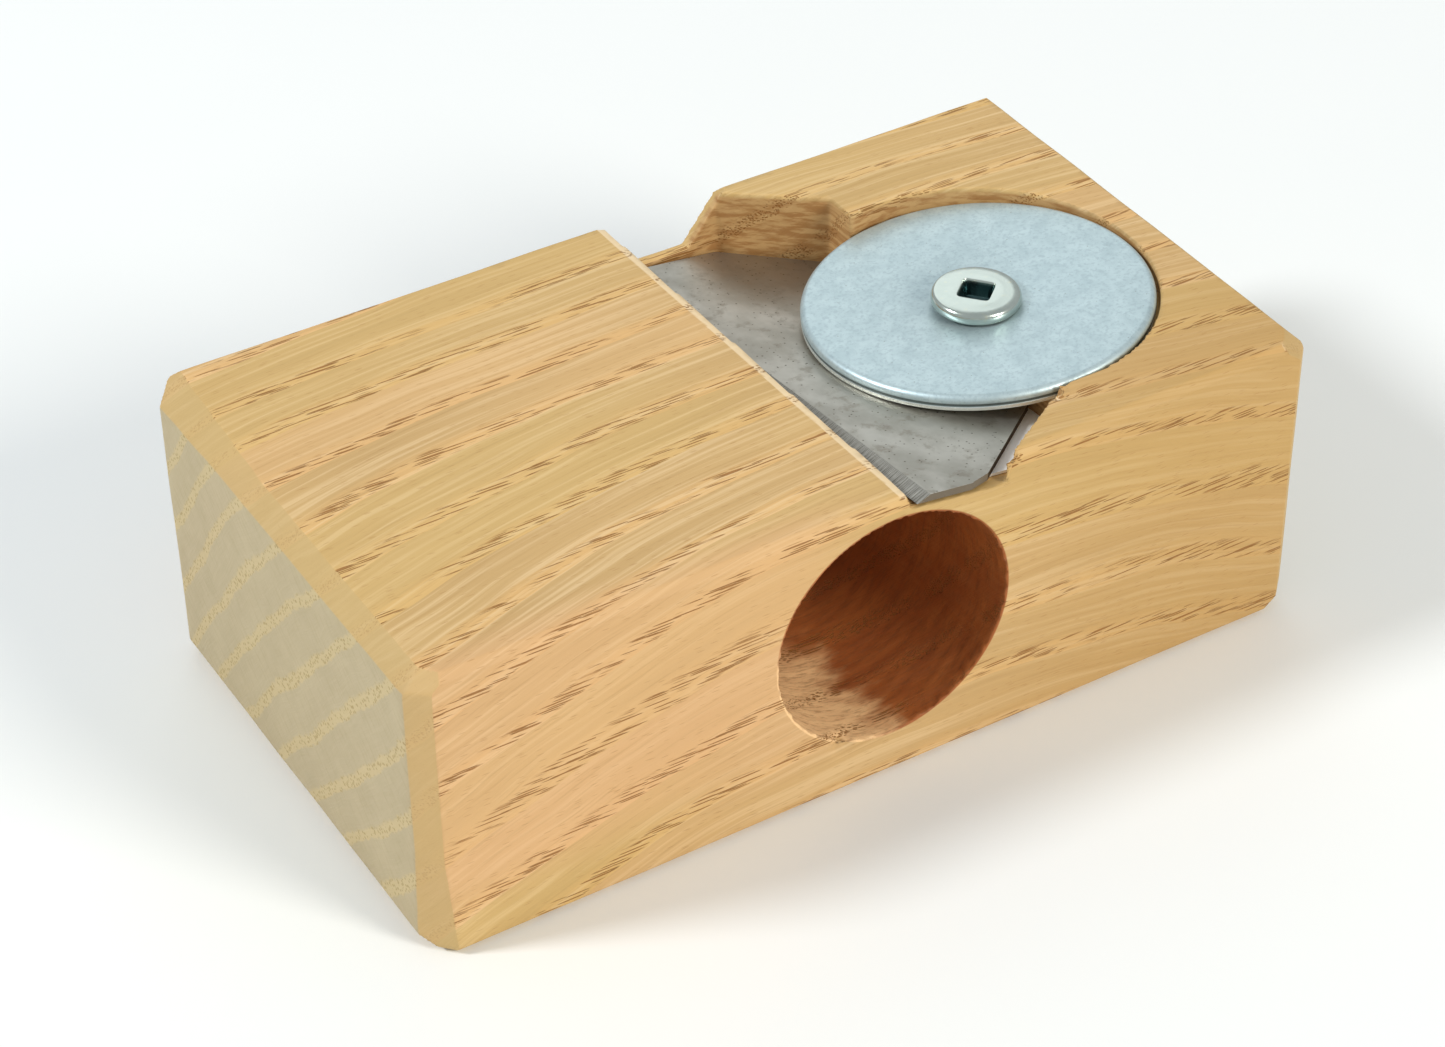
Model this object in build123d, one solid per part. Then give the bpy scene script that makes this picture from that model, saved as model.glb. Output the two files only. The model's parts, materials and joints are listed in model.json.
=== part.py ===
from build123d import *
import os
from math import cos, hypot, radians, sin, sqrt, tan

# Dowel rounding plane: a block of hardwood with a blade laid over a tapered bore.
# Millimetres. X runs along the block (toe at -X, heel at +X), Y across it (a stick is fed in at
# -Y and the dowel leaves at +Y) and Z up. The origin is under the middle of the block.

# --- Block ---
toe_length = 45.1          # bore axis to the toe end
heel_length = 44.0         # bore axis to the heel end
block_width = 49.0
block_height = 30.0
end_chamfer = 1.8          # round the toe end and the upright edges
side_chamfer = 0.7         # along the long edges

# --- Bores ---
bore_cover = 2.1           # large bore's top below the top face
infeed_radius = 11.5       # clears the corners of a 15.9 mm square stick
infeed_length = 10.0       # straight part of the large bore
throat_end_radius = 8.4    # where the cone meets the small bore
outfeed_radius = 8.1
outfeed_length = 5.0

# --- Blade, flat side down on its shim, bevel up ---
blade_thickness = 0.7
blade_width = 18.4         # cutting edge to back edge
bevel_angle = 30.0
near_trim = 6.8            # square stretch left at the infeed end
near_ease = (5.6, 7.7)     # the corner after it is ground off between these
far_trim = 10.4            # square stretch left at the outfeed end
slant_angle = 38.8         # blade's slanted ends, from square
notch_radius = 1.5
notch_depth = 2.6
notch_spacing = 9.5
end_flush = 0.05           # the blade's near end stays this far inside the side face

# --- Where the blade lies ---
edge_back = 2.0            # cutting edge behind the bore's axis, at the infeed side
blade_rise = 0.85          # blade's underside above the bore's top there
fall_to_heel = 7.5         # degrees
fall_across = 5.3          # degrees, down towards the outfeed side
blade_yaw = 1.5            # degrees, cutting edge turned in plan
mouth_gap = 0.65           # toe's drop-off to the cutting edge
shim_thickness = 0.3
shim_front = 5.0           # shim's front edge behind the cutting edge
shim_side = 1.5            # shim's near edge inside the side face
shim_length = 30.0
shim_clearance = 0.1       # shim to the wood around it
blade_clearance = 0.4      # blade's back and far ends to the wood
fit_gap = 0.02             # between faces that rest on each other

# --- Escapement ---
lip_thickness = 1.25       # low lip outside the blade's far end
lip_rise = 0.4             # lip's top above the blade's underside there
cheek_start = 8.5          # far cheek leaves the lip here, behind the bore's axis
cheek_slope = 52.0         # degrees from level
near_wall_start = 10.9     # near cheek's wall at the side face, behind the bore's axis
near_wall_angle = 32.8     # degrees from the side face

# --- Clamp ---
washer_radius = 15.875
washer_thickness = 1.45
washer_rounding = 0.42     # upper rim
washer_hole_radius = 3.4
washer_y = -2.3
washer_rise_to_heel = 3.0  # degrees
washer_fall_across = 3.2   # degrees
pocket_clearance = 0.275
screw_offset = (-0.9, -0.9)  # screw's axis from the washer's centre
screw_web = 0.25           # wood between the screw's hole and the blade's recess
thread_radius = 2.08
thread_clearance = 0.05
screw_length = 19.0        # under the head
tip_length = 3.0
tip_radius = 0.3
head_radius = 4.05
head_height = 1.15
head_rounding = 0.4
recess_width = 2.9
recess_depth = 0.95
recess_turn = 41.0         # degrees

# --- Worked out from the sizes above ---
block_length = toe_length + heel_length
bore_x = (toe_length - heel_length) / 2
side_y = block_width / 2
far_room = 4 * block_width          # longer than anything here, for cutting tools
overrun = 5.0                       # cuts run this far past the faces they leave
heel_slope = -tan(radians(fall_to_heel))
across_slope = -tan(radians(fall_across))
washer_heel_slope = tan(radians(washer_rise_to_heel))
washer_across_slope = -tan(radians(washer_fall_across))
bore_height = block_height - bore_cover - infeed_radius
edge_height = block_height - bore_cover + blade_rise
blade_length = block_width - lip_thickness - blade_clearance
blade_far_y = -side_y + blade_length
recess_back = blade_width * cos(radians(fall_to_heel)) + blade_clearance


def tilted_plane(x, y, z, slope_x, slope_y, yaw=0.0):
    """Plane through a point, with its y direction turned in plan and its normal upwards."""
    turn = radians(yaw)
    normal = Vector(-slope_x, -slope_y, 1)
    edge = Vector(-sin(turn), cos(turn), slope_y * cos(turn) - slope_x * sin(turn))
    return Plane(origin=(x, y, z), x_dir=edge.cross(normal), z_dir=normal)


def above(plane):
    """Large solid that fills the upper side of a plane."""
    return plane * Box(far_room, far_room, far_room, align=(Align.CENTER, Align.CENTER, Align.MIN))


def upright_prism(points):
    """Tall prism on a plan outline, whose x values are behind the bore's axis."""
    outline = Polyline([(bore_x + x, y) for x, y in points], close=True)
    return extrude(make_face(outline), amount=far_room)


def edge_x(y):
    """Cutting edge in plan, behind the bore's axis."""
    return edge_back - (y + side_y) * tan(radians(blade_yaw))


def blade_underside(x, y):
    """Height of the blade's flat face over a point in plan."""
    return edge_height + heel_slope * (x - edge_back) + across_slope * (y + side_y)


bed = tilted_plane(bore_x + edge_back, -side_y, edge_height, heel_slope, across_slope, blade_yaw)
bed_floor = bed.offset(-shim_thickness)

# The screw stands just behind the blade's recess, and the washer lies around it.
screw_y = washer_y + screw_offset[1]
screw_x = edge_x(screw_y) + recess_back + screw_web + thread_clearance + thread_radius
washer_x = screw_x - screw_offset[0]
lip_height = blade_underside(edge_x(blade_far_y), blade_far_y) + lip_rise

# The washer tips until its toe side rests on the blade, and its heel side on the pocket's floor.
blade_stretch = sqrt(1 + heel_slope**2 + across_slope**2)
slope_between = hypot(washer_heel_slope - heel_slope, washer_across_slope - across_slope)
washer_bottom = (
    blade_underside(washer_x, washer_y)
    + blade_thickness * blade_stretch
    + washer_radius * slope_between
    + fit_gap
)
washer_plane = tilted_plane(
    bore_x + washer_x, washer_y, washer_bottom, washer_heel_slope, washer_across_slope
)
washer_stretch = sqrt(1 + washer_heel_slope**2 + washer_across_slope**2)
washer_slope = hypot(washer_heel_slope, washer_across_slope)
head_seat = (
    washer_bottom
    + washer_thickness * washer_stretch
    + washer_heel_slope * screw_offset[0]
    + washer_across_slope * screw_offset[1]
    + head_radius * washer_slope
    + fit_gap
)


def make_blade():
    bevel_width = blade_thickness / tan(radians(bevel_angle))
    slant = tan(radians(slant_angle))
    overhang = 2 * blade_thickness
    ease_start, ease_end = near_ease
    outline = Polyline(
        (0, -overhang),
        (ease_start, -overhang),
        (ease_start, 0),
        (ease_end, (ease_end - near_trim) * slant),
        (blade_width, (blade_width - near_trim) * slant),
        (blade_width, blade_length - (blade_width - far_trim) * slant),
        (far_trim, blade_length),
        (0, blade_length),
        close=True,
    )
    plate = extrude(make_face(outline), amount=blade_thickness)
    for side in (-1, 1):
        middle = (blade_length + (far_trim - near_trim) * slant) / 2
        place = middle + side * notch_spacing / 2
        plate -= Pos(blade_width, place) * Box(
            2 * (notch_depth - notch_radius), 2 * notch_radius, far_room
        )
        plate -= Pos(blade_width - notch_depth + notch_radius, place) * Cylinder(
            notch_radius, far_room
        )
    bevel = Polyline(
        (-bevel_width, 0),
        (0, 0),
        (bevel_width, blade_thickness),
        (bevel_width, 2 * blade_thickness),
        (-bevel_width, 2 * blade_thickness),
        close=True,
    )
    plate -= Pos(0, 2 * blade_length) * extrude(
        Plane.XZ * make_face(bevel), amount=3 * blade_length
    )
    inside = Box(far_room, block_width - 2 * end_flush, far_room)
    return (bed * plate) & inside


def escapement_outline(gap):
    """Plan outline of the blade's recess, drawn in by a gap."""
    wall_run = tan(radians(90 - near_wall_angle))
    back = recess_back - gap
    slant = tan(radians(slant_angle - blade_yaw))
    far_y = blade_far_y + blade_clearance - gap
    far_corner = far_trim + edge_x(far_y) + blade_clearance - gap
    outside = side_y + overrun

    def back_x(y):
        return edge_x(y) + back

    near_y = -side_y + (back_x(0) - near_wall_start) / wall_run
    far_back = back_x(0)
    toe_x = gap - mouth_gap
    return [
        (edge_x(-outside) + toe_x, -outside),
        (edge_x(far_y) + toe_x, far_y),
        (far_corner, far_y),
        (far_back, far_y - (far_back - far_corner) * slant),
        (back_x(near_y), near_y + gap),
        (near_wall_start, -side_y + gap),
        (near_wall_start, -outside),
    ]


def make_shim():
    """Card strip under the rear of the blade, trimmed to the recess."""
    slab = extrude(
        Pos(shim_front, shim_side) * Rectangle(far_room, shim_length, align=(Align.MIN, Align.MIN)),
        amount=shim_thickness - 2 * fit_gap,
    )
    slab = bed_floor.offset(fit_gap) * slab
    return slab & upright_prism(escapement_outline(shim_clearance))


def make_body():
    body = Box(block_length, block_width, block_height, align=(Align.CENTER, Align.CENTER, Align.MIN))
    toe_edges = body.faces().sort_by(Axis.X)[0].edges()
    heel_edges = body.faces().sort_by(Axis.X)[-1].edges()
    body = chamfer(toe_edges + heel_edges, end_chamfer)
    long_edges = body.edges().filter_by(Axis.X)
    body = chamfer(long_edges, side_chamfer)

    # Large bore, conical throat and small bore, on one axis from -Y to +Y.
    throat_y = -side_y + infeed_length
    outfeed_y = side_y - outfeed_length
    profile = Polyline(
        (0, -side_y),
        (infeed_radius, -side_y),
        (infeed_radius, throat_y),
        (throat_end_radius, outfeed_y),
        (outfeed_radius, outfeed_y),
        (outfeed_radius, side_y),
        (0, side_y),
        close=True,
    )
    body -= Pos(bore_x, 0, bore_height) * revolve(make_face(profile), Axis.Y)

    # Recess for the blade, down to the shim's bed.
    body -= upright_prism(escapement_outline(0)) & above(bed_floor)

    # Low lip and sloping cheek outside the blade's far end.
    lip_y = blade_far_y + blade_clearance - fit_gap
    cheek_run = (block_height - lip_height) / tan(radians(cheek_slope))
    toe_x = edge_x(lip_y) - mouth_gap
    side_view = Polyline(
        (bore_x + toe_x, lip_height),
        (bore_x + cheek_start, lip_height),
        (bore_x + cheek_start + 2 * cheek_run, 2 * block_height - lip_height),
        (bore_x + toe_x, 2 * block_height - lip_height),
        close=True,
    )
    body -= Pos(0, side_y + overrun) * extrude(
        Plane.XZ * make_face(side_view), amount=side_y + overrun - lip_y
    )

    # Round pocket, with a tilted floor that carries the washer's heel side.
    seat = washer_plane.offset(-fit_gap)
    pocket = Pos(bore_x + washer_x, washer_y) * Cylinder(
        washer_radius + pocket_clearance, far_room, align=(Align.CENTER, Align.CENTER, Align.MIN)
    )
    body -= pocket & above(seat)

    hole_bottom = head_seat - screw_length - tip_length / 3
    body -= Pos(bore_x + screw_x, screw_y, hole_bottom) * Cylinder(
        thread_radius + thread_clearance,
        far_room,
        align=(Align.CENTER, Align.CENTER, Align.MIN),
    )
    return body


def make_washer():
    washer = Cylinder(
        washer_radius, washer_thickness, align=(Align.CENTER, Align.CENTER, Align.MIN)
    )
    rims = washer.edges().filter_by(GeomType.CIRCLE).sort_by(Axis.Z)
    washer = fillet(rims[-1], washer_rounding)
    washer -= Cylinder(washer_hole_radius, far_room)
    return washer_plane * washer


def make_screw():
    head = Cylinder(head_radius, head_height, align=(Align.CENTER, Align.CENTER, Align.MIN))
    head = fillet(head.edges().filter_by(GeomType.CIRCLE).sort_by(Axis.Z)[-1], head_rounding)
    recess = Rot(0, 0, recess_turn) * Box(recess_width, recess_width, 2 * recess_depth)
    head -= Pos(0, 0, head_height) * recess
    shank_length = screw_length - tip_length
    shank = Pos(0, 0, -shank_length) * Cylinder(
        thread_radius, shank_length, align=(Align.CENTER, Align.CENTER, Align.MIN)
    )
    tip = Pos(0, 0, -screw_length) * Cone(
        tip_radius, thread_radius, tip_length, align=(Align.CENTER, Align.CENTER, Align.MIN)
    )
    return Pos(bore_x + screw_x, screw_y, head_seat) * (head + shank + tip)


parts = {
    "body": make_body(),
    "blade": make_blade(),
    "blade_shim": make_shim(),
    "clamp_washer": make_washer(),
    "clamp_screw": make_screw(),
}

os.makedirs("parts", exist_ok=True)
for name, part in parts.items():
    solids = part.solids()
    export_step(solids[0] if len(solids) == 1 else Compound(solids), f"parts/{name}.step")
    print(name, len(solids), "solid, volume", round(part.volume, 2))
print("washer's underside at its centre", round(washer_bottom, 3), "head seat", round(head_seat, 3))
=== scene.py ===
import json
import math

import bmesh
import bpy
import numpy as np
from mathutils import Matrix, Vector, noise


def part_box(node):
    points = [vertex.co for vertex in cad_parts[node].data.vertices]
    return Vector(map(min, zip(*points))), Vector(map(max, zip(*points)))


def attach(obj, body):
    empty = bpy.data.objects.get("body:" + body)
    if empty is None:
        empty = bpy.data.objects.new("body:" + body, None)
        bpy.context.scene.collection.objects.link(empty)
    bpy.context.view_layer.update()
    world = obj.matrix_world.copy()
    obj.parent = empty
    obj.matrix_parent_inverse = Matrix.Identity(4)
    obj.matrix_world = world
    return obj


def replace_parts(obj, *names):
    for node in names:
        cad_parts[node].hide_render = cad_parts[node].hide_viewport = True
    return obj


# Looks for a shop-made dowel rounding plane: a sanded hardwood block, a ground blade, a strip of
# card under it, a zinc-plated washer and a pan-head screw. Metres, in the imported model's frame.
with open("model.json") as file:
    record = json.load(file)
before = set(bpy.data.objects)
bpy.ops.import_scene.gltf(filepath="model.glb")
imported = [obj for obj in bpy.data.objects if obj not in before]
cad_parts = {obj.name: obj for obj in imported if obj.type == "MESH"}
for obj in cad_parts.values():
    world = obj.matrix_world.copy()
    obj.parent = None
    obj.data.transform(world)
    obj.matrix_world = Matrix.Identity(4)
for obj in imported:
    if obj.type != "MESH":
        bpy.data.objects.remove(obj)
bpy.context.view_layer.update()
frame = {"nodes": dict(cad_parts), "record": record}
MM = 0.001
UP = Vector((0, 0, 1))

block_low, block_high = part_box("body")
screw_low, screw_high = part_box("clamp_screw")
screw_axis = (screw_low + screw_high) / 2
bores = {mount["name"]: mount for mount in frame["record"]["mounts"]}
bore_at = Vector(bores["infeed_bore"]["pos_m"])
bore_radius = bores["infeed_bore"]["dims"]["r_mm"] * MM
throat_start = block_low.y / MM + bores["infeed_bore"]["dims"]["length_mm"]
throat_end = block_high.y / MM - bores["outfeed_bore"]["dims"]["length_mm"]
throat_narrows = bores["infeed_bore"]["dims"]["r_mm"] - bores["outfeed_bore"]["dims"]["r_mm"]


# ---------------------------------------------------------------- node helpers


class Graph:
    """A material's node tree, with short calls for the nodes it needs."""

    def __init__(self, name):
        self.material = bpy.data.materials.new(name)
        self.material.use_nodes = True
        self.tree = self.material.node_tree
        self.shader = self.tree.nodes["Principled BSDF"]

    def plug(self, socket, value):
        if isinstance(value, bpy.types.NodeSocket):
            self.tree.links.new(value, socket)
        elif isinstance(value, tuple) and len(value) == 3 and socket.type == "RGBA":
            socket.default_value = (*value, 1)
        else:
            socket.default_value = value

    def node(self, kind, inputs=(), **settings):
        made = self.tree.nodes.new("ShaderNode" + kind)
        for key, value in settings.items():
            setattr(made, key, value)
        for key, value in dict(inputs).items():
            self.plug(made.inputs[key], value)
        return made

    def math(self, operation, a, b=0.0):
        return self.node("Math", {0: a, 1: b}, operation=operation).outputs[0]

    def add(self, a, b):
        return self.math("ADD", a, b)

    def less(self, a, b):
        return self.math("SUBTRACT", a, b)

    def times(self, a, b):
        return self.math("MULTIPLY", a, b)

    def dot(self, vector, direction):
        made = self.node("VectorMath", {0: vector, 1: tuple(direction)}, operation="DOT_PRODUCT")
        return made.outputs["Value"]

    def join(self, x, y, z):
        return self.node("CombineXYZ", {"X": x, "Y": y, "Z": z}).outputs[0]

    def stretched(self, coordinates, factors):
        """Texture space with its own scale on each coordinate."""
        inputs = {0: self.join(*coordinates), 1: factors}
        return self.node("VectorMath", inputs, operation="MULTIPLY").outputs[0]

    def steps(self, value, low, high, smooth=True):
        """0 at low and 1 at high, whichever of the two is larger."""
        kind = "SMOOTHSTEP" if smooth else "LINEAR"
        inputs = {"Value": value, "From Min": low, "From Max": high}
        return self.node("MapRange", inputs, interpolation_type=kind).outputs["Result"]

    def noise(self, vector, scale=1.0, detail=2.0, rough=0.5):
        inputs = {"Vector": vector, "Scale": scale, "Detail": detail, "Roughness": rough}
        return self.node("TexNoise", inputs).outputs["Fac"]

    def cells(self, vector, scale=1.0):
        return self.node("TexVoronoi", {"Vector": vector, "Scale": scale}).outputs

    def mix(self, share, a, b):
        made = self.node("Mix", data_type="RGBA")
        self.plug(made.inputs["Factor"], share)
        self.plug(made.inputs[6], a)
        self.plug(made.inputs[7], b)
        return made.outputs[2]

    def tint(self, colour, tone, share, amount):
        """The colour, with an amount of another tone wherever share is 1."""
        return self.mix(self.times(share, amount), colour, tone)

    def millimetres(self):
        """The surface point in the model's frame, in millimetres."""
        inputs = {0: self.node("TexCoord").outputs["Object"], "Scale": 1 / MM}
        return self.node("VectorMath", inputs, operation="SCALE").outputs[0]

    def parts(self, vector):
        return self.node("SeparateXYZ", {0: vector}).outputs

    def finish(self, colour, rough, height=None, bump_mm=0.0, metallic=0.0, specular=0.5):
        self.shader.inputs["Metallic"].default_value = metallic
        self.shader.inputs["Specular IOR Level"].default_value = specular
        self.plug(self.shader.inputs["Base Color"], colour)
        self.plug(self.shader.inputs["Roughness"], rough)
        if height is not None:
            bump = self.node("Bump", {"Height": height, "Distance": bump_mm * MM, "Strength": 1.0})
            self.plug(self.shader.inputs["Normal"], bump.outputs[0])
        return self.material


# ---------------------------------------------------------------- materials

# Growth rings, in millimetres. They are slanted layers that arch along the block.
RING_SPACING = 4.75
RING_DIRECTION = (0.843, 0.66)  # y and z across the rings
RING_PLANE = (-0.66, 0.84)  # y and z along them
CROWN_X = 5.6  # where the arch is highest
ARCH = 0.003  # its fall per square of the distance from there, on the infeed side
FAR_ARCH = 0.37  # share of the arch that is left on the far side
SWAY = 2.4  # how far they wander
PORE_CELLS = (0.25, 5.6, 5.6)  # to a millimetre, each with one pore: along and across


def growth_rings(g, x, y, z):
    """Where a point is in the rings: across, along, in which ring, how far in, how porous."""
    infeed_share = g.steps(y, 10.0, block_low.y / MM, smooth=False)
    arch = g.times(g.add(g.times(infeed_share, 1 - FAR_ARCH), FAR_ARCH), ARCH)
    from_crown = g.less(x, CROWN_X)
    straight = g.add(g.times(y, RING_DIRECTION[0]), g.times(z, RING_DIRECTION[1]))
    across = g.add(straight, g.times(arch, g.times(from_crown, from_crown)))
    sway = g.noise(g.stretched((x, y, z), (0.035, 0.09, 0.09)))
    across = g.add(across, g.times(g.less(sway, 0.5), SWAY))
    along = g.add(g.times(z, RING_PLANE[1]), g.times(y, RING_PLANE[0]))
    uneven = g.noise(g.stretched((across, 3.7, 1.9), (0.11, 1, 1)), detail=1.0)
    ring = g.add(g.times(across, 1 / RING_SPACING), g.add(0.2, g.times(uneven, 0.5)))
    ragged = g.noise(g.stretched((x, across, along), (0.3, 1.5, 1.5)))
    edge = g.add(g.math("FRACT", ring), g.times(g.less(ragged, 0.5), 0.16))
    return {
        "straight": straight,
        "across": across,
        "along": along,
        "edge": edge,
        "number": g.math("FLOOR", ring),
        "early": g.times(g.steps(edge, 0.0, 0.05), g.steps(edge, 0.30, 0.20)),
    }


def long_grain(g, x, y, z, rings):
    """Colour of the faces along the grain, without pores; and the finest fibres."""
    across, along = rings["across"], rings["along"]
    fibres = g.noise(g.stretched((x, across, along), (0.012, 1, 0.08)), 2.4, 3.0, 0.55)
    fine_fibres = g.noise(g.stretched((x, across, along), (0.06, 5, 0.4)), 1.2, 3.0)
    broad = g.noise(g.stretched((x, across, along), (0.02, 0.35, 0.2)), detail=3.0)
    flecks = g.cells(g.stretched((x, rings["straight"], along), (0.6, 5.5, 5.5)))
    sparse = g.steps(g.parts(flecks["Color"])[0], 0.6, 0.66)
    ring_tint = g.noise(g.stretched((rings["number"], 4.1, x), (7.3, 1, 0.008)), detail=1.0)
    # The near side is painted darker towards the heel, as painted shade, and pinker towards the
    # toe.
    heel_side_shade = g.times(g.steps(x, 0.0, 35.0), g.steps(y, 0.0, -24.0))
    toe_side = g.times(g.steps(x, 2.0, -10.0), g.steps(y, -20.0, -24.0))
    toe_side = g.times(toe_side, g.steps(z, 3.0, 9.0))

    late = g.mix(broad, (0.48, 0.305, 0.125), (0.63, 0.415, 0.175))
    early = g.mix(broad, (0.64, 0.375, 0.135), (0.72, 0.465, 0.20))
    colour = g.mix(g.steps(rings["edge"], 0.42, 0.12), late, early)
    for share, amount, tone in (
        (g.steps(fibres, 0.46, 0.68), 0.5, (0.80, 0.595, 0.335)),
        (g.steps(fibres, 0.44, 0.28), 0.4, (0.45, 0.29, 0.12)),
        (g.steps(ring_tint, 0.5, 0.62), 0.35, (0.72, 0.44, 0.20)),
        (g.steps(ring_tint, 0.5, 0.38), 0.35, (0.60, 0.42, 0.14)),
        # painted shade on the near side towards the heel
        (heel_side_shade, 0.6, (0.48, 0.285, 0.09)),
        (toe_side, 0.45, (0.70, 0.405, 0.205)),
        (g.steps(fine_fibres, 0.52, 0.72), 0.26, (0.40, 0.225, 0.075)),
        (g.times(g.steps(flecks["Distance"], 0.3, 0.15), sparse), 0.42, (0.38, 0.19, 0.055)),
    ):
        colour = g.tint(colour, tone, share, amount)
    return colour, fine_fibres


def end_grain(g, x, y, z, rings):
    """Greyer wood that drinks the light, with the pores as dots."""
    across, along, edge = rings["across"], rings["along"], rings["edge"]
    rays = g.noise(g.stretched((across, along, 0.0), (0.35, 2.6, 1)), 1.0, 3.0, 0.6)
    blots = g.noise(g.stretched((x, y, z), (0.2, 0.22, 0.22)), 1.0, 3.0, 0.6)
    dots = g.cells(g.stretched((across, along, 0.0), (2.6, 2.6, 1)))
    in_row = g.times(g.steps(edge, 0.30, 0.22), g.steps(edge, 0.0, 0.04))
    tone = g.mix(blots, (0.38, 0.31, 0.185), (0.50, 0.42, 0.265))
    tone = g.tint(tone, (0.36, 0.285, 0.16), g.steps(rays, 0.48, 0.7), 0.4)
    tone = g.tint(tone, (0.56, 0.44, 0.22), rings["early"], 0.65)
    open_dots = g.times(g.steps(dots["Distance"], 0.42, 0.28), in_row)
    return g.tint(tone, (0.31, 0.22, 0.075), open_dots, 0.8)


def bore_walls(g, x, y, z):
    """Share and colour of the bores' walls, scorched, with a lighter patch near the rim that is
    painted light where the lamp shines into the bore.
    """
    off_axis = g.less(x, bore_at.x / MM)
    off_height = g.less(z, bore_at.z / MM)
    radius = g.math("SQRT", g.add(g.times(off_axis, off_axis), g.times(off_height, off_height)))
    narrowing = g.steps(y, throat_start, throat_end, smooth=False)
    wall = g.less(bore_radius / MM + 0.15, g.times(narrowing, throat_narrows))
    share = g.steps(g.less(radius, wall), 0.15, 0.0)

    scorch = g.noise(g.stretched((x, y, z), (0.25, 0.5, 0.25)), detail=3.0)
    ridges = g.noise(g.stretched((x, y, z), (0.8, 4.0, 0.8)), 1.0, 3.0, 0.6)
    low_toe = g.less(g.times(off_axis, -0.75), g.times(off_height, 0.65))
    low_toe = g.add(low_toe, g.times(g.less(scorch, 0.5), 7.0))
    # Painted light: a lighter patch low on the toe side near the mouth, where the lamp reaches in.
    painted_light_patch = g.times(g.steps(low_toe, 6.0, 9.5), g.steps(y, -8.0, -15.0))
    colour = g.mix(scorch, (0.23, 0.038, 0.004), (0.48, 0.14, 0.025))
    colour = g.mix(painted_light_patch, colour, (0.92, 0.60, 0.30))
    colour = g.tint(colour, (0.17, 0.05, 0.012), g.steps(ridges, 0.45, 0.7), 0.45)
    return share, colour


def wood_material():
    g = Graph("ring_porous_wood")
    x, y, z = g.parts(g.millimetres())[:3]
    top, end, side = block_high.z / MM, block_high.x / MM, block_high.y / MM
    normal = g.parts(g.node("TexCoord").outputs["Normal"])
    lengthways = g.math("ABSOLUTE", normal[0])
    rings = growth_rings(g, x, y, z)
    colour, fine_fibres = long_grain(g, x, y, z, rings)

    at_ends = g.steps(g.math("ABSOLUTE", x), end - 4, end - 3)
    end_share = g.times(g.steps(lengthways, 0.82, 0.96), at_ends)
    colour = g.tint(colour, end_grain(g, x, y, z, rings), end_share, 0.9)

    # Sanded corners are a little dirty, and the eased edge at the blade is fresh.
    corner = g.times(g.steps(lengthways, 0.35, 0.5), g.steps(lengthways, 0.96, 0.82))
    corner = g.times(corner, at_ends)
    colour = g.tint(colour, (0.53, 0.365, 0.15), corner, 0.7)
    inside = g.less(1.0, at_ends)
    eased = g.times(g.steps(normal[0], 0.14, 0.26), g.steps(normal[2], 0.5, 0.7))
    eased = g.times(g.times(eased, inside), g.steps(z, top - 0.6, top - 0.4))
    colour = g.tint(colour, (0.88, 0.70, 0.45), eased, 0.75)

    # Walls of the recess are painted darker, as painted shade where they stand in shadow, streaked
    # like wood cut across the grain.
    upright = g.steps(g.math("ABSOLUTE", normal[2]), 0.85, 0.5)
    within = g.steps(g.math("ABSOLUTE", y), side - 0.4, side - 0.8)
    below_top = g.steps(z, top - 0.2, top - 0.6)
    wall_shade_share = g.times(g.times(inside, below_top), g.times(upright, within))
    cut = g.noise(g.stretched((x, y, z), (0.5, 0.14, 1.9)), 1.0, 3.0, 0.6)
    wall = g.mix(g.steps(cut, 0.38, 0.62), (0.37, 0.175, 0.055), (0.56, 0.34, 0.14))
    colour = g.tint(colour, wall, wall_shade_share, 0.88)

    in_bore, bore_colour = bore_walls(g, x, y, z)
    colour = g.tint(colour, bore_colour, in_bore, 0.92)

    # Vessels run straight along the block, and open where a ring's first wood meets a face.
    pores = g.cells(g.stretched((x, rings["straight"], rings["along"]), PORE_CELLS))
    kept = g.steps(g.parts(pores["Color"])[0], 0.06, 0.1)
    patches = g.noise(g.stretched((x, rings["number"], rings["along"]), (0.12, 5.3, 0.25)))
    in_row = g.times(rings["early"], g.steps(patches, 0.29, 0.42))
    pore = g.times(g.times(g.steps(pores["Distance"], 0.43, 0.33), kept), in_row)
    pore = g.times(pore, g.less(1.0, end_share))
    pore = g.times(pore, g.less(1.0, g.times(corner, 0.75)))
    colour = g.tint(colour, (0.30, 0.12, 0.02), pore, 0.85)

    height = g.less(g.times(fine_fibres, 0.35), pore)
    rough = g.add(0.52, g.times(fine_fibres, 0.16))
    return g.finish(colour, rough, height, 0.06, specular=0.35)


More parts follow.
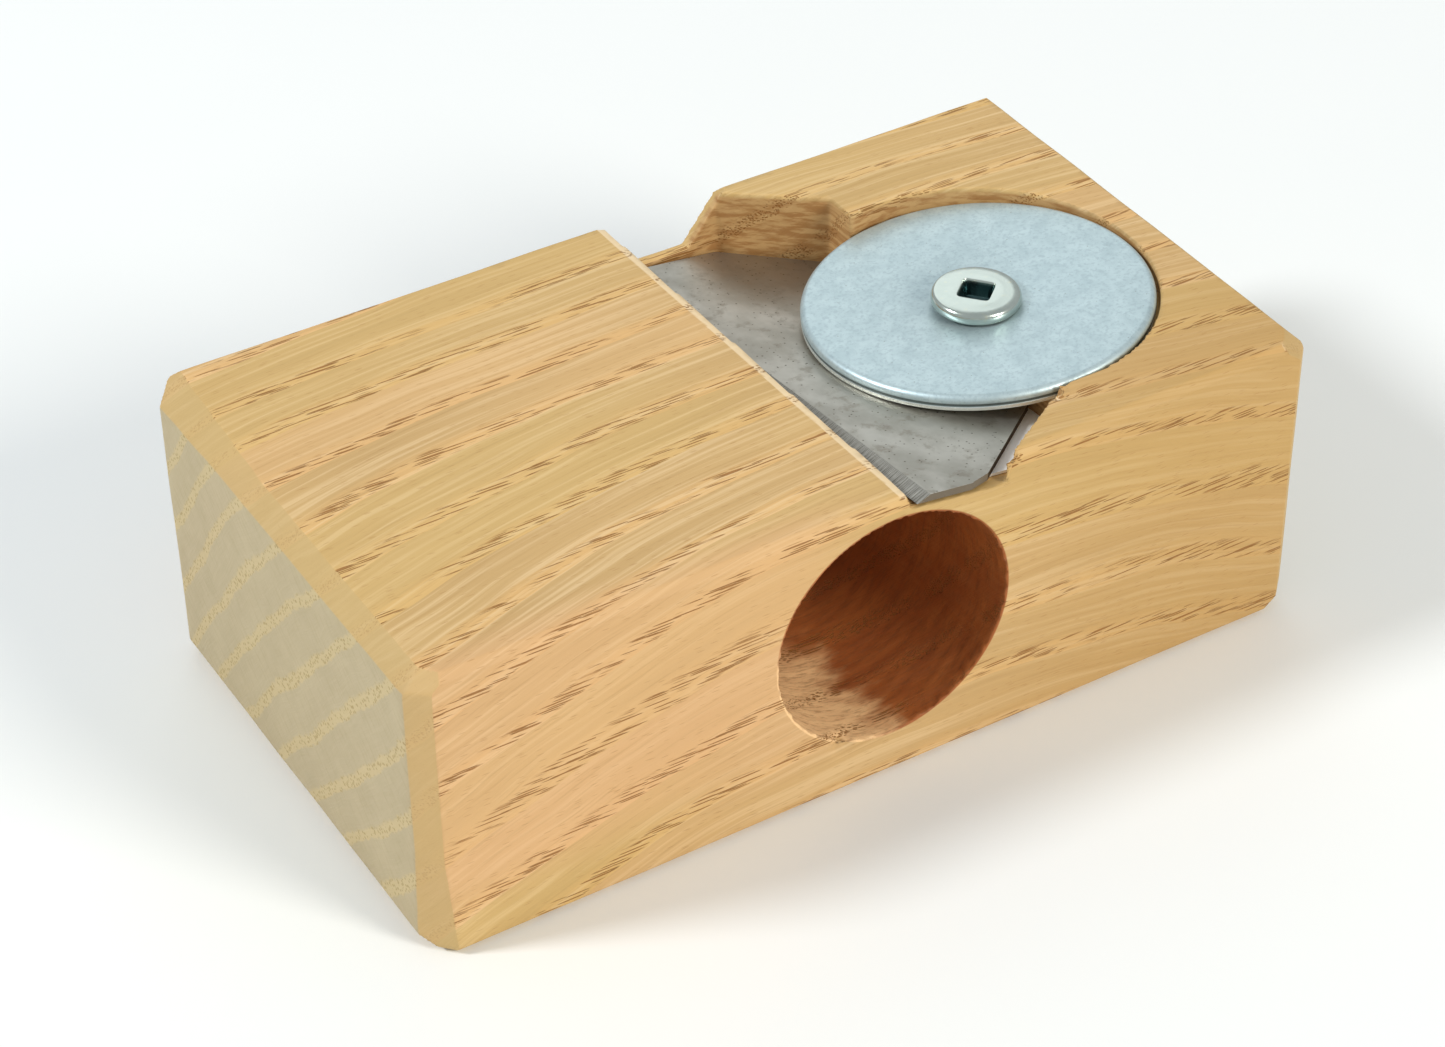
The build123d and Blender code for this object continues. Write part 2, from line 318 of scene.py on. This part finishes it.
def blade_material(across, along, up, edge_point):
    """Grey tool steel with stains, a ground bevel, painted shade on its side faces and a painted
    brown reflection of the wooden cheek. across runs from the edge to the back.
    """
    g = Graph("stained_steel")
    place = g.millimetres()
    s = g.less(g.dot(place, across), edge_point.dot(across) / MM)
    t = g.dot(place, along)
    normal = g.node("TexCoord").outputs["Normal"]
    bevel = g.steps(g.dot(normal, -across), 0.2, 0.4)
    sheared = g.steps(g.dot(normal, up), 0.6, 0.3)
    infeed_end_shade = g.steps(g.dot(normal, along), -0.8, -0.95)

    broad = g.noise(g.stretched((s, t, 0.0), (0.16, 0.12, 1)), 1.0, 4.0, 0.6)
    blots = g.noise(g.stretched((s, t, 2.0), (0.5, 0.5, 1)), 1.0, 5.0, 0.65)
    scratches = g.noise(g.stretched((s, t, 0.0), (0.5, 9.0, 1)), 1.0, 3.0)
    dust = g.cells(g.join(s, t, 0.0), 2.2)
    rare = g.steps(g.parts(dust["Color"])[0], 0.55, 0.62)
    specks = g.times(g.steps(dust["Distance"], 0.24, 0.12), rare)
    grinding = g.noise(g.stretched((s, t, 0.0), (0.4, 16.0, 1)))
    cheek_reflection = g.times(g.steps(t, 5.0, 12.0), g.steps(s, 4.0, 9.0))

    colour = g.mix(g.steps(broad, 0.35, 0.65), (0.40, 0.385, 0.335), (0.56, 0.545, 0.49))
    # Painted reflection: a brown tone where the wooden cheek stands over the blade.
    colour = g.tint(colour, (0.24, 0.19, 0.13), cheek_reflection, 0.6)
    colour = g.tint(colour, (0.27, 0.24, 0.19), g.steps(blots, 0.52, 0.66), 0.5)
    colour = g.tint(colour, (0.10, 0.085, 0.06), specks, 0.8)
    ground = g.mix(g.steps(grinding, 0.35, 0.65), (0.20, 0.19, 0.165), (0.50, 0.49, 0.44))
    colour = g.mix(bevel, colour, ground)
    # Painted shade: the side faces are coloured dark, and the slanted end on the infeed side
    # darkest.
    side_shade = g.mix(infeed_end_shade, (0.07, 0.05, 0.03), (0.24, 0.20, 0.15))
    colour = g.mix(sheared, colour, side_shade)
    rough = g.add(g.add(0.36, g.times(blots, 0.22)), g.times(sheared, 0.3))
    height = g.add(g.times(scratches, 0.4), g.times(g.times(bevel, grinding), 1.5))
    return g.finish(colour, rough, height, 0.008, metallic=0.9)


def washer_material(up, underside):
    """Satin zinc plate, a little blue, with tiny pits, and a dark line of painted shade in the
    notch round its sheared edge.
    """
    g = Graph("zinc_plate")
    place = g.millimetres()
    height_on_plate = g.less(g.dot(place, up), underside / MM)
    clouds = g.noise(place, 0.6, 4.0, 0.6)
    grains = g.noise(place, 2.8, 4.0, 0.6)
    pits = g.cells(place, 2.2)
    rare = g.steps(g.parts(pits["Color"])[1], 0.8, 0.88)
    specks = g.times(g.steps(pits["Distance"], 0.15, 0.06), rare)
    groove_shade = g.times(g.steps(height_on_plate, 0.38, 0.48), g.steps(height_on_plate, 0.78, 0.66))
    sheared = g.steps(height_on_plate, 0.45, 0.35)
    tearing = g.noise(g.stretched(g.parts(place)[:3], (9.0, 9.0, 0.4)))

    colour = g.mix(g.steps(clouds, 0.25, 0.75), (0.46, 0.58, 0.61), (0.56, 0.685, 0.71))
    colour = g.tint(colour, (0.38, 0.49, 0.53), g.steps(grains, 0.48, 0.64), 0.5)
    colour = g.tint(colour, (0.16, 0.17, 0.16), specks, 0.7)
    colour = g.mix(sheared, colour, (0.66, 0.69, 0.64))
    # Painted shade: a near-black line in the notch between the rolled rim and the sheared band.
    colour = g.tint(colour, (0.05, 0.065, 0.06), groove_shade, 0.85)
    rough = g.less(g.add(0.34, g.times(grains, 0.2)), g.times(sheared, 0.2))
    height = g.add(g.less(grains, specks), g.times(g.times(sheared, tearing), 3.0))
    return g.finish(colour, rough, height, 0.012, metallic=0.6)


def screw_material():
    """Bright plate, with painted shade in the recess and a few yellow stains."""
    g = Graph("bright_zinc")
    place = g.millimetres()
    x, y, z = g.parts(place)[:3]
    clouds = g.noise(place, 0.9, 3.0)
    depth = g.less(screw_high.z / MM, z)
    off_x = g.less(x, screw_axis.x / MM)
    off_y = g.less(y, screw_axis.y / MM)
    radius = g.math("SQRT", g.add(g.times(off_x, off_x), g.times(off_y, off_y)))
    recess_shade = g.times(g.steps(depth, 0.12, 0.5), g.steps(radius, 2.0, 1.9))
    stains = g.steps(g.noise(place, 1.8, 3.0), 0.6, 0.72)
    colour = g.mix(clouds, (0.50, 0.575, 0.53), (0.64, 0.70, 0.645))
    colour = g.tint(colour, (0.72, 0.70, 0.45), stains, 0.25)
    # Painted shade: the square recess is coloured near black.
    colour = g.tint(colour, (0.02, 0.075, 0.08), recess_shade, 0.92)
    rough = g.add(0.14, g.times(clouds, 0.12))
    return g.finish(colour, rough, clouds, 0.01, metallic=0.95)


def card_material():
    g = Graph("white_card")
    threads = g.noise(g.stretched(g.parts(g.millimetres())[:3], (2.0, 2.0, 9.0)), 1.0, 4.0, 0.6)
    colour = g.mix(threads, (0.91, 0.91, 0.87), (0.98, 0.98, 0.95))
    return g.finish(colour, 0.85, threads, 0.02)


def floor_material():
    g = Graph("floor_paper")
    tone = g.noise(g.millimetres(), 0.02, 2.0)
    colour = g.mix(tone, (0.84, 0.865, 0.86), (0.86, 0.88, 0.875))
    return g.finish(colour, 0.9, specular=0.1)


# ---------------------------------------------------------------- shapes

VOXEL = 0.24 * MM
KEPT_FACES = 0.3  # share left after the block's mesh is thinned
WAVINESS, WAVE_LENGTH = 0.05 * MM, 7 * MM
TOOL_MARK, TOOL_MARK_SPACING = 0.07 * MM, 0.9 * MM
TOOL_MARK_WAVES = 4  # to a radian, round the bore
RIM_ROUGHNESS, RIM_REACH = 0.22 * MM, 1.0 * MM
RIM_WAVES = 14
SPLINTER = (0.8 * MM, 0.4 * MM, 0.25 * MM)
EASE_WIDTH = 1.0 * MM  # sanded band along the toe's upper edge at the blade
EASE_DROP = 0.33 * MM
EASE_REACH = 1.3 * MM  # how far down the wall follows it
ARRIS = 0.03 * MM  # broken edges of the blade and the card


def new_object(name, mesh, material, body):
    made = bpy.data.objects.new(name, mesh)
    bpy.context.scene.collection.objects.link(made)
    mesh.materials.clear()
    mesh.materials.append(material)
    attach(made, body)
    return made


def cad_mesh(node):
    """A welded copy of a CAD node's mesh."""
    mesh = bmesh.new()
    mesh.from_mesh(frame["nodes"][node].data)
    bmesh.ops.remove_doubles(mesh, verts=mesh.verts, dist=2e-6)
    return mesh


def evaluated(mesh, modifiers):
    """A new mesh with modifiers applied: (kind, settings) pairs."""
    holder = bpy.data.objects.new("holder", mesh)
    bpy.context.scene.collection.objects.link(holder)
    for kind, settings in modifiers:
        modifier = holder.modifiers.new(kind, kind)
        for key, value in settings.items():
            setattr(modifier, key, value)
    bpy.context.view_layer.update()
    graph = bpy.context.evaluated_depsgraph_get()
    made = bpy.data.meshes.new_from_object(holder.evaluated_get(graph))
    bpy.data.objects.remove(holder)
    return made


def slice_off(mesh, point, outward):
    """Cuts a corner off a closed mesh with a plane and closes the cut."""
    everything = mesh.verts[:] + mesh.edges[:] + mesh.faces[:]
    bmesh.ops.bisect_plane(
        mesh, geom=everything, dist=1e-7, plane_co=point, plane_no=outward, clear_outer=True
    )
    rim = [edge for edge in mesh.edges if edge.is_boundary]
    if rim:
        bmesh.ops.holes_fill(mesh, edges=rim, sides=0)


def drop_off_edge(mesh):
    """Near and far end of the toe's upper edge at the blade."""
    top = block_high.z - 0.01 * MM
    found = []
    for edge in mesh.edges:
        ends = sorted((vertex.co.copy() for vertex in edge.verts), key=lambda end: end.y)
        inner = abs(ends[0].x) < block_high.x / 2 and min(end.z for end in ends) > top
        if inner and any(face.normal.x > 0.9 for face in edge.link_faces):
            found.append(ends)
    return max(found, key=lambda ends: ends[1].y - ends[0].y)


def sand_corners(mesh):
    """Hand-sanded facets on the block's corners, none of them quite square."""
    toe, heel = block_low.x, block_high.x
    near, far = block_low.y, block_high.y
    top = block_high.z
    facets = [
        # point on the facet, outward direction
        ((toe + 1.6 * MM, 0, top), (-0.62, 0.03, 0.78)),
        ((toe + 1.5 * MM, near, top * 0.5), (-0.72, -0.69, -0.05)),
        ((toe + 1.2 * MM, near + 1.2 * MM, 0.8 * MM), (-0.55, -0.5, -0.66)),
        ((toe + 1.6 * MM, near + 0.8 * MM, top - 1.0 * MM), (-0.55, -0.42, 0.72)),
        ((toe + 1.3 * MM, far, top * 0.5), (-0.74, 0.67, 0.0)),
        ((toe + 1.4 * MM, far - 0.6 * MM, top - 0.6 * MM), (-0.6, 0.4, 0.7)),
        ((heel - 1.2 * MM, near, top * 0.5), (0.7, -0.71, 0.03)),
        ((heel - 1.4 * MM, far, top * 0.5), (0.72, 0.69, 0.0)),
        ((heel - 1.5 * MM, 0, top), (0.68, 0.0, 0.73)),
        ((heel - 2.0 * MM, near + 1.0 * MM, top - 1.0 * MM), (0.55, -0.5, 0.67)),
        ((heel - 1.6 * MM, near + 1.2 * MM, 0.8 * MM), (0.55, -0.55, -0.63)),
    ]
    for point, outward in facets:
        slice_off(mesh, Vector(point), Vector(outward).normalized())


def read_vectors(collection, attribute):
    """Three numbers a row from a mesh's vertices or normals."""
    values = np.empty(len(collection) * 3, np.float32)
    collection.foreach_get(attribute, values)
    return values.reshape(-1, 3)


def roughen(mesh, drop_off):
    """Waves, an eased edge at the blade, tool marks in the bore and torn spots at rims."""
    place = read_vectors(mesh.vertices, "co")
    normal = read_vectors(mesh.vertex_normals, "vector")
    shift = np.zeros(len(place), np.float32)
    sink = np.zeros(len(place), np.float32)
    top = block_high.z
    tears = [
        # place, reach, depth at the middle
        (Vector((bore_at.x - 5.2 * MM, block_low.y, bore_at.z - 10.6 * MM)), 1.5 * MM, 0.45 * MM),
        (Vector((bore_at.x + 10.8 * MM, block_low.y, top)), 2.0 * MM, 0.7 * MM),
        (Vector((screw_axis.x - 2.2 * MM, block_low.y + 5.4 * MM, top)), 1.6 * MM, 0.5 * MM),
    ]
    near_end, far_end = drop_off
    lean = (far_end.x - near_end.x) / (far_end.y - near_end.y)
    for i, point in enumerate(Vector(row) for row in place):
        shift[i] = WAVINESS * noise.noise(point / WAVE_LENGTH)
        from_axis = math.hypot(point.x - bore_at.x, point.z - bore_at.z)
        if from_axis < bore_radius + 0.1 * MM and abs(normal[i][1]) < 0.7:
            turn = math.atan2(point.z - bore_at.z, point.x - bore_at.x)
            mark = Vector((turn * TOOL_MARK_WAVES, point.y / TOOL_MARK_SPACING, 0))
            shift[i] += TOOL_MARK * noise.noise(mark)
            from_face = (point.y - block_low.y) / RIM_REACH
            if from_face < 1:
                bite = noise.noise(Vector((turn * RIM_WAVES, 0, 0)))
                shift[i] += RIM_ROUGHNESS * (1 - from_face) * bite
        for tear_at, reach, depth in tears:
            torn = 1 - (point - tear_at).length / reach
            if torn > 0:
                splinters = Vector([along / size for along, size in zip(point, SPLINTER)])
                shift[i] -= torn * depth * (1 + noise.noise(splinters))
        from_edge = near_end.x + lean * (point.y - near_end.y) - point.x
        if -0.1 * MM < from_edge < EASE_WIDTH and point.z > top - EASE_REACH:
            share = 1 - max(0.0, from_edge) / EASE_WIDTH
            sink[i] = EASE_DROP * share * (point.z - top + EASE_REACH) / EASE_REACH
    place += normal * shift[:, None]
    place[:, 2] -= sink
    place[:, 2] = np.maximum(place[:, 2], block_low.z)
    mesh.vertices.foreach_set("co", place.ravel())
    mesh.update()


def make_block():
    shape = cad_mesh("body")
    drop_off = drop_off_edge(shape)
    sand_corners(shape)
    mesh = bpy.data.meshes.new("sanded_block")
    shape.to_mesh(mesh)
    shape.free()
    mesh = evaluated(
        mesh, [("REMESH", {"mode": "VOXEL", "voxel_size": VOXEL, "use_smooth_shade": True})]
    )
    roughen(mesh, drop_off)
    mesh = evaluated(mesh, [("DECIMATE", {"ratio": KEPT_FACES})])
    mesh.shade_smooth()
    block = new_object("wood_block", mesh, wood_material(), "block")
    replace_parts(block, "body")


def plate_directions(node):
    """Unit directions of a flat plate: along its longest edge, square to it, and up."""
    mesh = cad_mesh(node)
    up = Vector()
    for face in mesh.faces:
        if face.normal.z > 0.9:
            up += face.normal * face.calc_area()
    up.normalize()
    longest = max(mesh.edges, key=lambda edge: edge.calc_length())
    first, second = (vertex.co.copy() for vertex in longest.verts)
    mesh.free()
    along = (second - first).normalized()
    if along.y < 0:
        along.negate()
    return along, along.cross(up).normalized(), up, first


def softened_copy(node, name, material, body):
    """A CAD plate with its arrises just broken, so that they catch the light."""
    shape = cad_mesh(node)
    bmesh.ops.dissolve_limit(
        shape, angle_limit=math.radians(0.5), verts=shape.verts, edges=shape.edges
    )
    mesh = bpy.data.meshes.new(name)
    shape.to_mesh(mesh)
    shape.free()
    settings = {"width": ARRIS, "segments": 2, "limit_method": "ANGLE", "harden_normals": True}
    settings["angle_limit"] = math.radians(20)
    mesh = evaluated(mesh, [("BEVEL", settings)])
    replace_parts(new_object(name, mesh, material, body), node)


def make_blade():
    along, across, up, edge_point = plate_directions("blade")
    if across.x < 0:
        across.negate()
    material = blade_material(across, along, up, edge_point)
    softened_copy("blade", "ground_blade", material, "blade")


def make_card():
    softened_copy("blade_shim", "card_strip", card_material(), "block")


def lathe(rings, turns, closed=False):
    """Surface through rings of points; each ring is a function of the angle, or one point."""
    bm = bmesh.new()
    rows = []
    for ring in rings:
        if isinstance(ring, Vector):
            rows.append([bm.verts.new(ring)])
        else:
            rows.append([bm.verts.new(ring(2 * math.pi * i / turns)) for i in range(turns)])
    for upper, lower in zip(rows, rows[1:] + rows[: int(closed)]):
        for i in range(turns):
            j = (i + 1) % turns
            if len(upper) == 1:
                bm.faces.new((upper[0], lower[i], lower[j]))
            elif len(lower) == 1:
                bm.faces.new((upper[i], lower[0], upper[j]))
            else:
                bm.faces.new((upper[i], lower[i], lower[j], upper[j]))
    return bm


def smooth_mesh(bm, name, place, sharp_angle):
    """A mesh from a surface that is moved into place, smooth but for its sharp edges."""
    bm.transform(place)
    bmesh.ops.recalc_face_normals(bm, faces=bm.faces)
    mesh = bpy.data.meshes.new(name)
    bm.to_mesh(mesh)
    bm.free()
    mesh.shade_smooth()
    mesh.set_sharp_from_angle(angle=math.radians(sharp_angle))
    return mesh


def circle(radius, height):
    return lambda turn: Vector((radius * math.cos(turn), radius * math.sin(turn), height))


WASHER_TURNS = 160
WASHER_ROLL = 0.42  # radius of the rolled rim, as a share of the thickness


def make_washer():
    """Punched washer: a rolled upper rim, a sheared edge with a bright band and a small burr."""
    _, _, up, _ = plate_directions("clamp_washer")
    side = Vector((1, 0, 0))
    side = (side - up * side.dot(up)).normalized()
    axes = Matrix((side, up.cross(side), up)).transposed()
    points = np.array([vertex.co for vertex in frame["nodes"]["clamp_washer"].data.vertices])
    local = points @ np.array(axes)
    low, high = local.min(0), local.max(0)
    middle = (low + high) / 2
    radius = (high[0] - low[0]) / 2
    thick = high[2] - low[2]
    hole = np.hypot(local[:, 0] - middle[0], local[:, 1] - middle[1]).min()
    roll, burr = WASHER_ROLL * thick, 0.07 * MM
    profile = [(hole + 0.25 * MM, thick)]
    for step in range(9):
        turn = math.radians(90 - 10 * step)
        inward, down = roll * (1 - math.cos(turn)), roll * (1 - math.sin(turn))
        profile.append((radius - inward, thick - down))
    profile += [
        (radius - 0.005 * MM, thick * 0.50),
        (radius - 0.07 * MM, thick * 0.44),
        (radius - 0.05 * MM, thick * 0.30),
        (radius - 0.01 * MM, thick * 0.26),
        (radius - 0.01 * MM, burr),
        (radius - 0.10 * MM, 0),
        (hole + 0.12 * MM, 0),
        (hole, 0.12 * MM),
        (hole, thick - 0.25 * MM),
        (hole + 0.07 * MM, thick - 0.07 * MM),
    ]
    rings = [circle(r, h) for r, h in profile]
    place = axes.to_4x4()
    place.translation = axes @ Vector((float(middle[0]), float(middle[1]), float(low[2])))
    mesh = smooth_mesh(lathe(rings, WASHER_TURNS, closed=True), "plated_washer", place, 50)
    washer = new_object("plated_washer", mesh, washer_material(up, low[2]), "washer")
    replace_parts(washer, "clamp_washer")


SCREW_TURNS = 96
THREAD_PITCH = 1.69 * MM
THREAD_DEPTH = 0.42 * MM
THREAD_ROWS = 220
TIP_LENGTH = 3.0 * MM
SHANK_RADIUS = 2.06 * MM
HEAD_HEIGHT = 1.15 * MM
HEAD_CROWN = 0.12 * MM
HEAD_RIM = 0.62 * MM  # height of the rounded rim
HEAD_RIM_WIDTH = 0.68  # its width, as a share of its height
RECESS_HALF = 1.45 * MM
RECESS_DEPTH = 1.65 * MM
RECESS_TURN = math.radians(41)


def rounded_square(half, corner, height):
    """Ring around a square with rounded corners, as a function of the angle."""

    def at(turn):
        power = 2 / corner
        c, s = abs(math.cos(turn - RECESS_TURN)), abs(math.sin(turn - RECESS_TURN))
        radius = half / (c**power + s**power) ** (1 / power)
        return Vector((radius * math.cos(turn), radius * math.sin(turn), height))

    return at


def thread_ring(depth, length):
    """Ring round the thread at a depth under the head, as a function of the angle."""
    taper = min(1.0, (length - depth) / TIP_LENGTH)
    start = min(1.0, max(0.0, (depth - 0.6 * MM) / MM))

    def at(turn):
        share = (depth / THREAD_PITCH + turn / (2 * math.pi)) % 1.0
        crest = max(0.0, 1 - abs(share - 0.5) * 4.2)
        outer = SHANK_RADIUS * taper
        root = outer - THREAD_DEPTH * start * min(1.0, taper * 1.6)
        r = max(0.08 * MM, root + (outer - root) * crest)
        return Vector((r * math.cos(turn), r * math.sin(turn), -depth))

    return at


def make_screw():
    """Pan head with a square recess, and a coarse thread that runs out at the tip."""
    radius = (screw_high.x - screw_low.x) / 2
    head_base = screw_high.z - HEAD_HEIGHT
    rings = [Vector((0, 0, HEAD_HEIGHT - RECESS_DEPTH - 0.25 * MM))]
    for share in (0.4, 0.8):
        depth = RECESS_DEPTH + 0.12 * MM * (0.8 - share)
        rings.append(rounded_square(RECESS_HALF * share, 0.4, HEAD_HEIGHT - depth))
    for height, share, corner in (
        (-RECESS_DEPTH + 0.08 * MM, 0.86, 0.35),
        (-0.30 * MM, 0.98, 0.22),
        (-0.10 * MM, 1.0, 0.22),
        (-0.02 * MM, 1.04, 0.25),
        (0.0, 1.12, 0.3),
    ):
        rings.append(rounded_square(RECESS_HALF * share, corner, HEAD_HEIGHT + height))
    rings.append(circle(radius * 0.62, HEAD_HEIGHT - 0.2 * HEAD_CROWN))
    rings.append(circle(radius * 0.78, HEAD_HEIGHT - HEAD_CROWN))
    for step in range(1, 9):
        turn = math.radians(90 - 90 * step / 8)
        inward = HEAD_RIM_WIDTH * HEAD_RIM * (1 - math.cos(turn))
        down = HEAD_CROWN + HEAD_RIM * (1 - math.sin(turn))
        rings.append(circle(radius - inward, HEAD_HEIGHT - down))
    rings += [circle(radius - 0.02 * MM, 0.08 * MM), circle(radius - 0.1 * MM, 0)]
    rings += [circle(SHANK_RADIUS + 0.25 * MM, 0), circle(SHANK_RADIUS, -0.25 * MM)]
    length = head_base - screw_low.z
    for row in range(THREAD_ROWS):
        depth = 0.3 * MM + (length - 0.35 * MM) * row / THREAD_ROWS
        rings.append(thread_ring(depth, length))
    rings.append(Vector((0, 0, -length)))
    place = Matrix.Translation((screw_axis.x, screw_axis.y, head_base))
    mesh = smooth_mesh(lathe(rings, SCREW_TURNS), "pan_head_screw", place, 42)
    screw = new_object("pan_head_screw", mesh, screw_material(), "screw")
    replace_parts(screw, "clamp_screw")


# ---------------------------------------------------------------- stage


def make_floor():
    bm = bmesh.new()
    bmesh.ops.create_grid(bm, x_segments=8, y_segments=8, size=2.5)
    mesh = bpy.data.meshes.new("floor")
    bm.to_mesh(mesh)
    bm.free()
    floor = bpy.data.objects.new("floor", mesh)
    bpy.context.scene.collection.objects.link(floor)
    mesh.materials.append(floor_material())
    floor.location.z = block_low.z


def soft_light(name, azimuth, elevation, distance, size, power, colour):
    """Round lamp aimed at the object from an azimuth (0 is +X, 90 is +Y) and an elevation."""
    lamp = bpy.data.lights.new(name, "AREA")
    lamp.shape = "DISK"
    lamp.size = size
    lamp.energy = power
    lamp.color = colour
    holder = bpy.data.objects.new(name, lamp)
    bpy.context.scene.collection.objects.link(holder)
    turn, lift = math.radians(azimuth), math.radians(elevation)
    level = math.cos(lift)
    away = Vector((math.cos(turn) * level, math.sin(turn) * level, math.sin(lift)))
    holder.location = away * distance
    holder.rotation_euler = (-away).to_track_quat("-Z", "Y").to_euler()


def make_lights():
    world = bpy.data.worlds.new("studio")
    world.use_nodes = True
    background = world.node_tree.nodes["Background"]
    background.inputs["Color"].default_value = (0.93, 0.97, 1.0, 1)
    background.inputs["Strength"].default_value = 0.49
    bpy.context.scene.world = world
    soft_light("key", -67, 31, 1.4, 0.47, 11.6, (1.0, 0.94, 0.85))
    soft_light("left", 163, 41, 1.3, 0.27, 9.6, (0.96, 0.98, 1.0))
    soft_light("back", 65, 35, 1.2, 0.8, 1.3, (0.95, 0.99, 1.0))
    bpy.context.scene.view_settings.view_transform = "Standard"


def make_camera():
    """Camera at the studio's viewing angle, given as angles around the block's middle."""
    azimuth, elevation, roll = (math.radians(a) for a in (-30.894, 37.978, -0.756))
    distance = 318.5 * MM
    target = Vector((-3.18, -2.64, 14.70)) * MM
    away = Vector(
        (
            math.sin(azimuth) * math.cos(elevation),
            -math.cos(azimuth) * math.cos(elevation),
            math.sin(elevation),
        )
    )
    camera = bpy.data.cameras.new("camera")
    camera.lens = 89.71
    camera.sensor_width = 36.0
    camera.clip_start = 0.01
    camera.clip_end = 20
    holder = bpy.data.objects.new("camera", camera)
    bpy.context.scene.collection.objects.link(holder)
    right = UP.cross(away).normalized()
    above = away.cross(right)
    tilted_right = right * math.cos(roll) + above * math.sin(roll)
    tilted_above = above * math.cos(roll) - right * math.sin(roll)
    holder.matrix_world = Matrix.Translation(target + away * distance) @ Matrix(
        (tilted_right, tilted_above, away)
    ).transposed().to_4x4()
    bpy.context.scene.camera = holder


make_block()
make_blade()
make_card()
make_washer()
make_screw()
make_floor()
make_lights()
make_camera()
